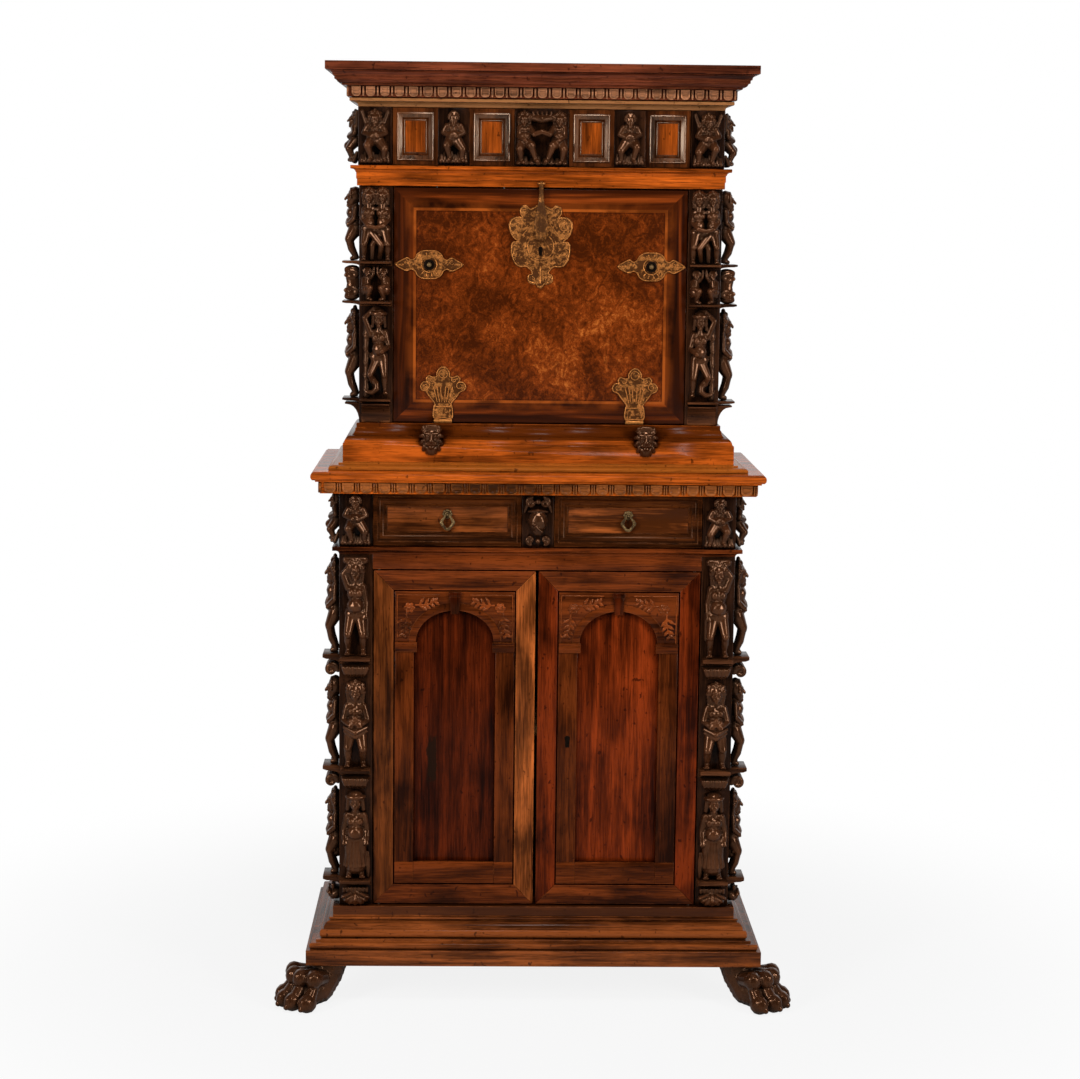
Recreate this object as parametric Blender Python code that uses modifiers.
"""A two-stage walnut secretary cabinet: cupboard, drawers, fall front, frieze drawers and carved stiles.

The front faces -Y, +X is to the right, +Z is up and the cabinet stands on z = 0. All sizes are in metres.
"""
import math

import bmesh
import bpy
from mathutils import Matrix, Vector

# Plan of the two cases
CASE_WIDTH = 0.800
CASE_DEPTH = 0.388
UPPER_INSET = 0.038
FRIEZE_INSET = 0.036
STILE_WIDTH = 0.0675
POST_DEPTH = 0.068
SIDE_THICKNESS = 0.020
SIDE_SETBACK = 0.005
BACK_THICKNESS = 0.014
PLINTH_REACH = 0.0645
TOE_REACH = 0.056

# Heights of the levels, from the floor up
FOOT_HEIGHT = 0.086
PLINTH_HEIGHT = 0.111
CUPBOARD_HEIGHT = 0.728
WAIST_HEIGHT = 0.0165
DRAWER_LEVEL_HEIGHT = 0.1105
DESK_HEIGHT = 0.045
BASE_HEIGHT = 0.091
FALL_LEVEL_HEIGHT = 0.472
RAIL_HEIGHT = 0.040
FRIEZE_HEIGHT = 0.1145
CORNICE_HEIGHT = 0.0855

# Clearances
SEAT_GAP = 0.0003
DOOR_GAP = 0.0015
DRAWER_GAP = 0.0015
SLIDE_GAP = 0.0005
TRAY_CLEARANCE = 0.003
PIN_CLEARANCE = 0.0005

# Plinth and feet
PLINTH_WALL = 0.050
PLINTH_TOP_BOARD = 0.032
BACK_FOOT_LENGTH = 0.095
BACK_FOOT_TOE = 0.070
BACK_FOOT_INSET = 0.012
PAW_SIZE = 0.100

# Cupboard
CUPBOARD_RAIL_HEIGHT = 0.030
CUPBOARD_RAIL_DEPTH = 0.030
DOOR_THICKNESS = 0.026
DOOR_MEETING_GAP = 0.002
DOOR_FRAME_WIDTH = 0.041
DOOR_REBATE = 0.006
PANEL_RECESS = 0.012
PANEL_THICKNESS = 0.009
ARCADE_THICKNESS = 0.008
PILASTER_WIDTH = 0.0425
ARCADE_BASE_HEIGHT = 0.045
ARCH_CROWN_BELOW_TOP = 0.041
IMPOST_HEIGHT = 0.020
IMPOST_REACH = 0.004
KEYSTONE_WIDTH = 0.022
KEYSTONE_FOOT_WIDTH = 0.017
KEYSTONE_REACH = 0.004
KEYSTONE_DROP = 0.006
PIVOT_FROM_EDGE = 0.012
PIVOT_FROM_FACE = 0.006
PIN_RADIUS = 0.0030
PIN_IN_CASE = 0.012
PIN_IN_DOOR = 0.016
SHELF_THICKNESS = 0.018
SHELF_HEIGHT_SHARE = 0.467
DOOR_LOCK_WIDTH = 0.070
DOOR_LOCK_DEPTH = 0.016
DOOR_LOCK_HEIGHT = 0.100
DOOR_LOCK_HEIGHT_SHARE = 0.398
DOOR_LOCK_FROM_EDGE = 0.007

# Lower drawers and their drop pulls
DRAWER_FRONT_THICKNESS = 0.022
DIVIDER_FACE_WIDTH = 0.064
DIVIDER_FACE_DEPTH = 0.060
DIVIDER_BOARD = 0.016
TRAY_WALL = 0.010
TRAY_FLOOR = 0.008
TRAY_HEIGHT = 0.082
TRAY_BACK_CLEARANCE = 0.012
PULL_HEIGHT_ON_FRONT = 0.066
PULL_PLATE_RADIUS = 0.0105
PULL_PLATE_THICKNESS = 0.003
PULL_NECK_RADIUS = 0.0016
PULL_NECK_LENGTH = 0.0095
PULL_HOOK_SHARE = 0.55
PULL_BALL_RADIUS = 0.0023
DROP_WIRE_RADIUS = 0.0017
DROP_EYE_CLEARANCE = 0.0006
DROP_LENGTH = 0.030
DROP_HALF_WIDTH = 0.0095
DROP_POINTS = 18

# Lopers in the upper base
LOPER_FROM_END = 0.184
LOPER_WIDTH = 0.020
LOPER_HEIGHT = 0.036
LOPER_COVER = 0.006
LOPER_BACK_CLEARANCE = 0.040
MASK_HEIGHT = 0.066
MASK_TOP_ABOVE_BASE = 0.0035

# Fall front and its metalwork
FALL_THICKNESS = 0.022
FALL_BOTTOM_GAP = 0.002
FALL_TOP_GAP = 0.003
HINGE_FORWARD = 0.0035
HINGE_ABOVE_BASE = 0.0034
KNUCKLE_RADIUS = 0.0030
KNUCKLE_LENGTH = 0.022
PLATE_THICKNESS = 0.0022
HINGE_PLATE_FROM_EDGE = 0.100
HINGE_PLATE_HEIGHT = 0.110
HINGE_PLATE_WIDTH = 0.094
ESCUTCHEON_FROM_EDGE = 0.071
ESCUTCHEON_WIDTH = 0.138
ESCUTCHEON_HEIGHT = 0.058
ESCUTCHEON_BELOW_RAIL = 0.155
ESCUTCHEON_KNOB_RADIUS = 0.0065
LOCK_PLATE_WIDTH = 0.126
LOCK_PLATE_HEIGHT = 0.166
LOCK_PLATE_BELOW_RAIL = 0.117
LOCK_CASE_WIDTH = 0.090
LOCK_CASE_DEPTH = 0.014
LOCK_CASE_HEIGHT = 0.080
EYE_ROD_RADIUS = 0.0018
EYE_HALF_SPAN = 0.0062
EYE_REACH = 0.0075
EYE_ABOVE_RAIL_BOTTOM = 0.0075
HASP_RING_WALL = 0.0022
HASP_RING_WIDTH = 0.0050
HASP_THICKNESS = 0.0045
HASP_LENGTH = 0.110
HASP_TOP_WIDTH = 0.008
HASP_FOOT_WIDTH = 0.020
HASP_FOOT_HEIGHT = 0.016

# Pigeonhole rack behind the fall front
RACK_BOARD = 0.010
RACK_COLUMNS = 4
RACK_ROWS = 2
RACK_CLEARANCE = 0.0008
RACK_HEADROOM = 0.060

# Frieze
FRIEZE_BLOCK_WIDTH = 0.106
FRIEZE_BLOCK_DEPTH = 0.060
FRIEZE_PULL_WIDTH = 0.062
FRIEZE_TRAY_HEIGHT = 0.080

# Carving: relief of the figures and the shelves that carry them
RELIEF = 0.032
LEDGE_REACH = 0.034
LEDGE_THICKNESS = 0.010
LEDGE_COVE = 0.008
FINE_LEDGE_THICKNESS = 0.005
FINE_LEDGE_COVE = 0.004
CARVING_SINK = 0.004
CARVING_MARGIN = 0.003
CONSOLE_HEIGHT = 0.030
CONSOLE_REACH = 0.020
LOWER_FIRST_BAY = 0.283 * CUPBOARD_HEIGHT
LOWER_BAY = 0.318 * CUPBOARD_HEIGHT
UPPER_GROUP_BAY = 0.316 * FALL_LEVEL_HEIGHT
UPPER_PAIR_BAY = 0.168 * FALL_LEVEL_HEIGHT
UPPER_FIGURE_BAY = 0.413 * FALL_LEVEL_HEIGHT
MELT_CELLS = 34
FIGURE_FACETS = 90
PAW_FACETS = 220
TONGUE_RELIEF = 0.0035
TONGUE_TAPER = 0.72
CORNICE_TONGUE_PITCH = 0.0280
DESK_TONGUE_PITCH = 0.0215

# Places worked out from the sizes above
HALF_CASE = CASE_WIDTH / 2
HALF_UPPER = HALF_CASE - UPPER_INSET
HALF_FRIEZE = HALF_CASE - FRIEZE_INSET
TOTAL_DEPTH = CASE_DEPTH + PLINTH_REACH + TOE_REACH
BACK_Y = TOTAL_DEPTH / 2
INNER_BACK_Y = BACK_Y - BACK_THICKNESS - SEAT_GAP
FRONT_Y = BACK_Y - CASE_DEPTH
UPPER_FRONT_Y = FRONT_Y + UPPER_INSET
FRIEZE_FRONT_Y = FRONT_Y + FRIEZE_INSET
PLINTH_Z = FOOT_HEIGHT
CUPBOARD_Z = PLINTH_Z + PLINTH_HEIGHT
WAIST_Z = CUPBOARD_Z + CUPBOARD_HEIGHT
DRAWER_Z = WAIST_Z + WAIST_HEIGHT
DESK_Z = DRAWER_Z + DRAWER_LEVEL_HEIGHT
BASE_Z = DESK_Z + DESK_HEIGHT
FALL_Z = BASE_Z + BASE_HEIGHT
RAIL_Z = FALL_Z + FALL_LEVEL_HEIGHT
FRIEZE_Z = RAIL_Z + RAIL_HEIGHT
CORNICE_Z = FRIEZE_Z + FRIEZE_HEIGHT
LOWER_STILE_INNER = HALF_CASE - STILE_WIDTH
UPPER_STILE_INNER = HALF_UPPER - STILE_WIDTH
FRIEZE_STILE_INNER = HALF_FRIEZE - STILE_WIDTH

# How finely round forms are faceted, and the small rise that keeps a level moulding step from lying flat
SWEEP_STEPS = 4
STEP_RISE = 0.0004
ROUND_SIDES = 14
SIDE_TURN = -math.pi / 2
PAW_TURN = -math.pi / 4

for leftover in list(bpy.data.objects):
    bpy.data.objects.remove(leftover)
cabinet = bpy.data.collections.new("secretary_cabinet")
cutters = bpy.data.collections.new("cutters")
bpy.context.scene.collection.children.link(cabinet)
bpy.context.scene.collection.children.link(cutters)


def finish(name, colour, roughness, metallic=0.0):
    """A plain surface finish."""
    material = bpy.data.materials.new(name)
    material.use_nodes = True
    shader = material.node_tree.nodes["Principled BSDF"]
    shader.inputs["Base Color"].default_value = (*colour, 1.0)
    shader.inputs["Roughness"].default_value = roughness
    shader.inputs["Metallic"].default_value = metallic
    return material


DARK_WALNUT = finish("dark_carved_walnut", (0.035, 0.015, 0.008), 0.35)
WALNUT = finish("brown_walnut", (0.110, 0.042, 0.015), 0.45)
RED_WALNUT = finish("red_walnut", (0.085, 0.022, 0.010), 0.40)
AMBER_WALNUT = finish("amber_walnut", (0.210, 0.070, 0.016), 0.40)
BURL = finish("burl_veneer", (0.130, 0.038, 0.010), 0.32)
CASE_WOOD = finish("plain_case_wood", (0.150, 0.085, 0.040), 0.70)
GILT_IRON = finish("worn_gilt_iron", (0.330, 0.190, 0.060), 0.50, 0.85)
DARK_BRASS = finish("dark_brass", (0.120, 0.085, 0.040), 0.45, 0.90)
IRON = finish("blackened_iron", (0.050, 0.045, 0.042), 0.60, 0.90)


def add_object(name, mesh, material, location=(0, 0, 0), collection=None):
    """Link a mesh as a named object."""
    obj = bpy.data.objects.new(name, mesh)
    obj.location = location
    (collection or cabinet).objects.link(obj)
    if material:
        mesh.materials.clear()
        mesh.materials.append(material)
    return obj


def from_bmesh(name, bm, material, location=(0, 0, 0), collection=None):
    """Turn a finished bmesh into an object."""
    bmesh.ops.recalc_face_normals(bm, faces=bm.faces)
    mesh = bpy.data.meshes.new(name)
    bm.to_mesh(mesh)
    bm.free()
    return add_object(name, mesh, material, location, collection)


def box(name, low, high, material, collection=None):
    """A rectangular board between two corners, with its origin at its middle."""
    low, high = Vector(low), Vector(high)
    bm = bmesh.new()
    bmesh.ops.create_cube(bm, size=1.0, matrix=Matrix.Diagonal((*(high - low), 1.0)))
    return from_bmesh(name, bm, material, (low + high) / 2, collection)


def rod(name, start, end, radius, material, collection=None):
    """A straight round rod between two points."""
    start, end = Vector(start), Vector(end)
    turn = (end - start).to_track_quat("Z", "Y").to_matrix().to_4x4()
    bm = bmesh.new()
    bmesh.ops.create_cone(bm, cap_ends=True, segments=ROUND_SIDES, radius1=radius, radius2=radius,
                          depth=(end - start).length, matrix=turn)
    return from_bmesh(name, bm, material, (start + end) / 2, collection)


def knob(name, centre, radius, material):
    """A small ball."""
    bm = bmesh.new()
    bmesh.ops.create_uvsphere(bm, u_segments=10, v_segments=6, radius=radius)
    return from_bmesh(name, bm, material, centre)


def evaluated_mesh(obj):
    """The object's mesh with its modifiers applied."""
    bpy.context.view_layer.update()
    depsgraph = bpy.context.evaluated_depsgraph_get()
    return bpy.data.meshes.new_from_object(obj.evaluated_get(depsgraph))


def curve_solid(name, curve, material, basis=Matrix.Identity(4), location=(0, 0, 0)):
    """Make a curve a closed mesh with its caps welded on, turned by basis."""
    source = bpy.data.objects.new(name, curve)
    cabinet.objects.link(source)
    mesh = evaluated_mesh(source)
    bpy.data.objects.remove(source)
    bm = bmesh.new()
    bm.from_mesh(mesh)
    bmesh.ops.remove_doubles(bm, verts=bm.verts, dist=0.00001)
    bm.transform(basis)
    return from_bmesh(name, bm, material, location)


def add_spline(curve, points):
    """A straight-sided spline through points."""
    spline = curve.splines.new("POLY")
    spline.points.add(len(points) - 1)
    for target, point in zip(spline.points, points):
        target.co = (*point, 1) if len(point) == 3 else (*point, 0, 1)
    return spline


def outline_solid(name, outlines, thickness, material, basis=Matrix.Identity(4), location=(0, 0, 0)):
    """A board cut to closed flat outlines, the first the rim and the others holes."""
    curve = bpy.data.curves.new(name, "CURVE")
    curve.dimensions = "2D"
    curve.fill_mode = "BOTH"
    curve.extrude = thickness / 2
    for points in outlines:
        add_spline(curve, points).use_cyclic_u = True
    return curve_solid(name, curve, material, basis, location)


def wire_solid(name, points, radius, closed, material, location=(0, 0, 0)):
    """A bent round wire through points."""
    curve = bpy.data.curves.new(name, "CURVE")
    curve.dimensions = "3D"
    curve.bevel_depth = radius
    curve.bevel_resolution = 1
    curve.use_fill_caps = True
    add_spline(curve, points).use_cyclic_u = closed
    return curve_solid(name, curve, material, Matrix.Identity(4), location)


# Outline planes: (across, up) facing the front, and (outward, up) seen along the width of a moulding
FRONT_BASIS = Matrix(((1, 0, 0, 0), (0, 0, -1, 0), (0, 1, 0, 0), (0, 0, 0, 1)))
SECTION_BASIS = Matrix(((0, 0, -1, 0), (-1, 0, 0, 0), (0, 1, 0, 0), (0, 0, 0, 1)))


def boolean(obj, other, operation):
    """Add an exact Boolean to an object."""
    modifier = obj.modifiers.new(other.name, "BOOLEAN")
    modifier.operation = operation
    modifier.solver = "EXACT"
    modifier.object = other


def outer_skin(mesh):
    """Fill a solid's inner hollows by dropping every shell but the outermost."""
    bm = bmesh.new()
    bm.from_mesh(mesh)
    waiting = set(bm.verts)
    shells = []
    while waiting:
        front = [waiting.pop()]
        shell = list(front)
        while front:
            linked = [edge.other_vert(vert) for vert in front for edge in vert.link_edges]
            front = [vert for vert in set(linked) if vert in waiting]
            waiting.difference_update(front)
            shell += front
        shells.append(shell)
    shells.sort(key=lambda shell: max(vert.co.z for vert in shell) - min(vert.co.z for vert in shell))
    bmesh.ops.delete(bm, geom=[vert for shell in shells[:-1] for vert in shell], context="VERTS")
    bm.to_mesh(mesh)
    bm.free()


def fuse(ground, *bodies):
    """Join bodies worked from the same stock to their ground."""
    for body in bodies:
        boolean(ground, body, "UNION")
        mesh = evaluated_mesh(ground)
        ground.modifiers.clear()
        ground.data = mesh
        bpy.data.objects.remove(body)
    outer_skin(ground.data)
    return ground


def cut(obj, cutter):
    """Cut an object with a hidden cutter."""
    cutter.hide_render = True
    cutter.display_type = "WIRE"
    boolean(obj, cutter, "DIFFERENCE")


def cut_box(obj, low, high):
    """Cut a rectangular recess or opening between two corners."""
    cut(obj, box(obj.name + "_opening", low, high, None, cutters))


def cut_bore(obj, start, end, radius):
    """Cut a round hole between two points."""
    cut(obj, rod(obj.name + "_bore", start, end, radius, None, cutters))


def slice_flat(obj, point, normal):
    """Plane a body flat, taking off what lies beyond the plane."""
    bm = bmesh.new()
    bm.from_mesh(obj.data)
    geometry = bm.verts[:] + bm.edges[:] + bm.faces[:]
    sliced = bmesh.ops.bisect_plane(bm, geom=geometry, plane_co=point, plane_no=normal, clear_outer=True)
    rim = [item for item in sliced["geom_cut"] if isinstance(item, bmesh.types.BMEdge)]
    bmesh.ops.holes_fill(bm, edges=rim)
    bmesh.ops.recalc_face_normals(bm, faces=bm.faces)
    bm.to_mesh(obj.data)
    bm.free()


def mirrored(obj, name):
    """A copy of a left-hand piece, reflected to the right side."""
    mesh = evaluated_mesh(obj)
    mesh.transform(Matrix.Scale(-1, 4, (1, 0, 0)))
    mesh.flip_normals()
    return add_object(name, mesh, obj.data.materials[0], (-obj.location.x, obj.location.y, obj.location.z))


def pair(obj):
    """A left-hand piece and its right-hand twin."""
    return obj, mirrored(obj, obj.name.replace("left", "right"))


def hang(axis_name, axis_point, pieces):
    """Parent pieces to an empty that sits on their joint's axis."""
    empty = bpy.data.objects.new(axis_name, None)
    empty.location = axis_point
    cabinet.objects.link(empty)
    bpy.context.view_layer.update()
    for piece in pieces:
        piece.parent = empty
        piece.matrix_parent_inverse = empty.matrix_world.inverted()


class Profile:
    """A moulding drawn from the bottom up as points of (reach beyond the case face, height)."""

    def __init__(self, reach):
        self.points = [(reach, 0.0)]
        self.bands = []

    def rise(self, height):
        """A straight upright face."""
        reach, base = self.points[-1]
        self.points.append((reach, base + height))
        return self

    def rise_to(self, height):
        """A straight upright face that ends at a height above the bottom of the moulding."""
        return self.rise(height - self.points[-1][1])

    def step(self, reach):
        """A nearly level step in or out."""
        self.points.append((reach, self.points[-1][1] + STEP_RISE))
        return self

    def level_sweep(self, reach, height):
        """A quarter round that starts level and ends upright."""
        start, base = self.points[-1]
        for index in range(1, SWEEP_STEPS + 1):
            angle = math.pi / 2 * index / SWEEP_STEPS
            self.points.append((start + (reach - start) * math.sin(angle),
                                base + height * (1 - math.cos(angle))))
        return self

    def upright_sweep(self, reach, height):
        """A quarter round that starts upright and ends level."""
        start, base = self.points[-1]
        for index in range(1, SWEEP_STEPS + 1):
            angle = math.pi / 2 * index / SWEEP_STEPS
            self.points.append((start + (reach - start) * (1 - math.cos(angle)),
                                base + height * math.sin(angle)))
        return self

    def half_round(self, height, bulge):
        """A torus that swells out and comes back to where it started."""
        reach = self.points[-1][0]
        self.level_sweep(reach + bulge, height / 2)
        return self.upright_sweep(reach, height / 2)

    def carved_band(self, height):
        """An upright face that carries a row of carved tongues."""
        self.bands.append(len(self.points))
        return self.rise(height)


def carve_tongues(bm, band, pitch):
    """Divide an upright band face into cells and raise each as a tapered tongue."""
    low = min(vert.co.z for vert in band.verts)
    level = [edge for edge in band.edges if abs(edge.verts[0].co.z - edge.verts[1].co.z) < STEP_RISE / 2]
    count = max(2, round(level[0].calc_length() / pitch))
    normal = band.normal.copy()
    centre = band.calc_center_median()
    bmesh.ops.subdivide_edges(bm, edges=level, cuts=count - 1, use_grid_fill=True)
    cells = [face for face in bm.faces
             if face.normal.dot(normal) > 0.999
             and abs((face.calc_center_median() - centre).dot(normal)) < STEP_RISE / 2
             and abs(face.calc_center_median().z - centre.z) < (centre.z - low) / 2]
    raised = bmesh.ops.extrude_discrete_faces(bm, faces=cells)["faces"]
    for face in raised:
        middle = face.calc_center_median()
        for vert in face.verts:
            vert.co = middle + (vert.co - middle) * TONGUE_TAPER + normal * TONGUE_RELIEF


def moulded_slab(name, half_width, front_y, back_y, z, profile, material, tongue_pitch=None):
    """A level of the carcase whose front and two ends are worked to a moulding, with a flush back."""
    middle_y = (front_y + back_y) / 2
    bm = bmesh.new()

    def set_ring(verts, reach, height):
        for vert in verts:
            vert.co.x = math.copysign(half_width + reach, vert.co.x)
            vert.co.y = back_y if vert.co.y > middle_y else front_y - reach
            vert.co.z = height

    floor = bmesh.ops.create_grid(bm, x_segments=1, y_segments=1, size=1.0,
                                  matrix=Matrix.Translation((0, middle_y, 0)))["verts"]
    set_ring(floor, *profile.points[0])
    edges = bm.edges[:]
    bands = []
    for index, point in enumerate(profile.points[1:], start=1):
        grown = bmesh.ops.extrude_edge_only(bm, edges=edges)["geom"]
        ring = [item for item in grown if isinstance(item, bmesh.types.BMVert)]
        set_ring(ring, *point)
        edges = [edge for edge in bm.edges if edge.verts[0] in ring and edge.verts[1] in ring]
        if index in profile.bands:
            bands += [item for item in grown if isinstance(item, bmesh.types.BMFace)]
    bmesh.ops.holes_fill(bm, edges=edges)
    bmesh.ops.recalc_face_normals(bm, faces=bm.faces)
    for band in bands:
        if band.normal.y < 0.5:
            carve_tongues(bm, band, tongue_pitch)
    return from_bmesh(name, bm, material, (0, 0, z))


def panelled_front(name, low, high, splits, panels, steps, material):
    """A drawer front whose face is divided at splits, with the numbered cells worked as moulded panels."""
    low, high = Vector(low), Vector(high)
    centre = (low + high) / 2
    bm = bmesh.new()
    bmesh.ops.create_cube(bm, size=1.0, matrix=Matrix.Diagonal((*(high - low), 1.0)))
    for x in splits:
        face_parts = [face for face in bm.faces if face.normal.y < -0.9]
        geometry = {item for face in face_parts for item in [face, *face.edges[:], *face.verts[:]]}
        bmesh.ops.bisect_plane(bm, geom=list(geometry), plane_co=(x - centre.x, 0, 0), plane_no=(1, 0, 0))
        bm.normal_update()
    cells = [face for face in bm.faces if face.normal.y < -0.9]
    cells.sort(key=lambda face: face.calc_center_median().x)
    for index in panels:
        for thickness, depth in steps:
            bmesh.ops.inset_individual(bm, faces=[cells[index]], thickness=thickness, depth=depth)
    return from_bmesh(name, bm, material, centre)


# Carved figures, drawn as strokes in a unit that is the figure's height
def ball(centre, radius):
    """A round mass."""
    return (centre, centre, radius, radius)


def limb(points, radii):
    """A bent limb through points, one radius each."""
    return [(points[i], points[i + 1], radii[i], radii[i + 1]) for i in range(len(points) - 1)]


def figure(left_arm, right_arm, extras=(), knee_reach=0.10, stance=0.075, girth=1.0):
    """Strokes of a standing child-like figure that faces -Y on z = 0, with its back in the ground plane.

    Each arm is its elbow and hand.
    """
    strokes = [ball((0, -0.075, 0.855), 0.088), ball((0, -0.035, 0.885), 0.100)]
    strokes += limb([(0, -0.05, 0.78), (0, -0.05, 0.70)], [0.045, 0.06])
    strokes += limb([(-0.055, -0.045, 0.66), (0.055, -0.045, 0.66)], [0.080 * girth, 0.080 * girth])
    strokes += [ball((0, -0.062, 0.52), 0.098 * girth)]
    strokes += limb([(-0.045, -0.035, 0.42), (0.045, -0.035, 0.42)], [0.078 * girth, 0.078 * girth])
    for side in (-1, 1):
        hip = (side * 0.055, -0.045, 0.39)
        knee = (side * stance, -knee_reach, 0.215)
        ankle = (side * stance * 0.95, -0.045, 0.04)
        toe = (side * stance * 1.1, -0.110, 0.025)
        strokes += limb([hip, knee, ankle, toe], [0.060, 0.045, 0.032, 0.024])
    for side, (elbow, hand) in ((-1, left_arm), (1, right_arm)):
        strokes += limb([(side * 0.105, -0.045, 0.68), elbow, hand], [0.042, 0.034, 0.030])
    return strokes + list(extras)


def beside(strokes, shift):
    """The same strokes moved across, for a group."""
    def moved(point):
        return (point[0] + shift, point[1], point[2])

    return [(moved(start), moved(end), *radii) for start, end, *radii in strokes]


RAISED_LEFT = ((-0.155, -0.05, 0.80), (-0.075, -0.045, 0.96))
DOWN_LEFT = ((-0.150, -0.05, 0.55), (-0.120, -0.09, 0.42))
DOWN_RIGHT = ((0.150, -0.05, 0.55), (0.120, -0.09, 0.42))
CLASP_LEFT = ((-0.160, -0.06, 0.56), (-0.045, -0.135, 0.50))
CLASP_RIGHT = ((0.160, -0.06, 0.56), (0.045, -0.135, 0.50))
WIDE_LEFT = ((-0.215, -0.05, 0.56), (-0.060, -0.140, 0.50))
WIDE_RIGHT = ((0.215, -0.05, 0.56), (0.060, -0.140, 0.50))
LINK_LEFT = ((-0.130, -0.07, 0.56), (0.110, -0.130, 0.52))
LINK_RIGHT = ((0.130, -0.07, 0.56), (-0.110, -0.130, 0.52))
FRUIT = [ball((-0.03, -0.14, 0.545), 0.036), ball((0.03, -0.14, 0.545), 0.036), ball((0, -0.15, 0.50), 0.036)]
KILT = limb([(0, -0.045, 0.40), (0, -0.045, 0.17)], [0.095, 0.118])
WINGS = limb([(-0.06, -0.02, 0.70), (-0.23, -0.03, 0.93)], [0.07, 0.035])
WINGS += limb([(0.06, -0.02, 0.70), (0.23, -0.03, 0.93)], [0.07, 0.035])
COLUMN = limb([(-0.150, -0.035, 0.0), (-0.150, -0.035, 0.86)], [0.045, 0.045])
TAIL = limb([(-0.06, -0.09, 0.20), (-0.01, -0.12, 0.07), (-0.10, -0.11, 0.03)], [0.040, 0.038, 0.026])
CROWN = limb([(-0.12, -0.04, 0.92), (0.12, -0.04, 0.92)], [0.055, 0.055])
CROWN += limb([(-0.26, -0.12, 0.50), (0, -0.13, 0.60), (0.26, -0.12, 0.50)], [0.040, 0.040, 0.040])

BEARER = figure(RAISED_LEFT, DOWN_RIGHT, knee_reach=0.095)
HOLDER = figure(CLASP_LEFT, CLASP_RIGHT, FRUIT, knee_reach=0.12)
DRAPED = figure(DOWN_LEFT, DOWN_RIGHT, KILT, knee_reach=0.07)
SQUATTER = figure(WIDE_LEFT, WIDE_RIGHT, knee_reach=0.135, stance=0.150, girth=1.12)
WINGED = figure(WIDE_LEFT, WIDE_RIGHT, WINGS, knee_reach=0.13, stance=0.150, girth=1.10)
STRIDER = figure(((-0.150, -0.06, 0.86), (-0.02, -0.05, 0.97)), CLASP_RIGHT, COLUMN + TAIL, knee_reach=0.11)
COUPLE = beside(figure(DOWN_LEFT, LINK_LEFT), -0.105) + beside(figure(LINK_RIGHT, DOWN_RIGHT), 0.105)
TWINS = beside(SQUATTER, -0.21) + beside(SQUATTER, 0.21)
CROWNED_PAIR = beside(figure(DOWN_LEFT, CLASP_RIGHT, stance=0.13), -0.22)
CROWNED_PAIR += beside(figure(CLASP_LEFT, DOWN_RIGHT, stance=0.13), 0.22) + CROWN
SCROLLS = limb([(-0.30, -0.05, 0.25), (0.30, -0.05, 0.25)], [0.25, 0.25])
SCROLLS += limb([(-0.25, -0.05, 0.75), (0.25, -0.05, 0.75)], [0.22, 0.22])
LION_MASK = [ball((0, 0.02, 0.52), 0.30), ball((0, -0.02, 0.36), 0.22), ball((0, -0.16, 0.35), 0.14),
             ball((-0.20, 0.0, 0.76), 0.16), ball((0.20, 0.0, 0.76), 0.16), ball((0, -0.04, 0.78), 0.20),
             ball((-0.13, -0.13, 0.54), 0.10), ball((0.13, -0.13, 0.54), 0.10), ball((0, -0.07, 0.16), 0.15)]
SHIELD_MASK = [ball((0, 0.0, 0.50), 0.20), ball((0, -0.04, 0.42), 0.17), ball((0, -0.03, 0.60), 0.18)]
SHIELD_MASK += limb([(-0.15, 0.0, 0.86), (0.15, 0.0, 0.86)], [0.09, 0.09])
SHIELD_MASK += limb([(-0.19, 0.0, 0.12), (0.19, 0.0, 0.12)], [0.085, 0.085])
PAW = limb([(0, 0.10, 1.10), (0, -0.10, 0.40)], [0.46, 0.40]) + [ball((0, 0.0, 0.30), 0.36)]
PAW += limb([(0, -0.30, 0.52), (0, -0.75, 0.34)], [0.36, 0.30])
for toe_x in (-0.42, -0.15, 0.15, 0.42):
    PAW += limb([(toe_x * 0.75, -0.62, 0.54), (toe_x * 0.95, -0.86, 0.48), (toe_x, -1.06, 0.14)],
                [0.17, 0.17, 0.15])


def stroke_body(strokes, size):
    """Balls and tapered limbs, one (start, end, start radius, end radius) each, as overlapping solids."""
    bm = bmesh.new()
    for start, end, start_radius, end_radius in strokes:
        start, end = Vector(start) * size, Vector(end) * size
        for centre, radius in ((start, start_radius), (end, end_radius)):
            bmesh.ops.create_uvsphere(bm, u_segments=12, v_segments=8, radius=radius * size,
                                      matrix=Matrix.Translation(centre))
        span = end - start
        if span.length > 0:
            turn = span.to_track_quat("Z", "Y").to_matrix().to_4x4()
            bmesh.ops.create_cone(bm, cap_ends=True, segments=12, radius1=start_radius * size,
                                  radius2=end_radius * size, depth=span.length,
                                  matrix=Matrix.Translation((start + end) / 2) @ turn)
    return bm


def sculpt(name, strokes, size, facets):
    """Melt strokes into one carved body with about the given number of facets."""
    body = from_bmesh(name, stroke_body(strokes, size), DARK_WALNUT)
    melt = body.modifiers.new("melt", "REMESH")
    melt.mode = "VOXEL"
    melt.voxel_size = size / MELT_CELLS
    body.data = evaluated_mesh(body)
    body.modifiers.clear()
    thin = body.modifiers.new("thin", "DECIMATE")
    thin.ratio = facets / (2 * len(body.data.polygons))
    body.data = evaluated_mesh(body)
    body.modifiers.clear()
    return body


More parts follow.
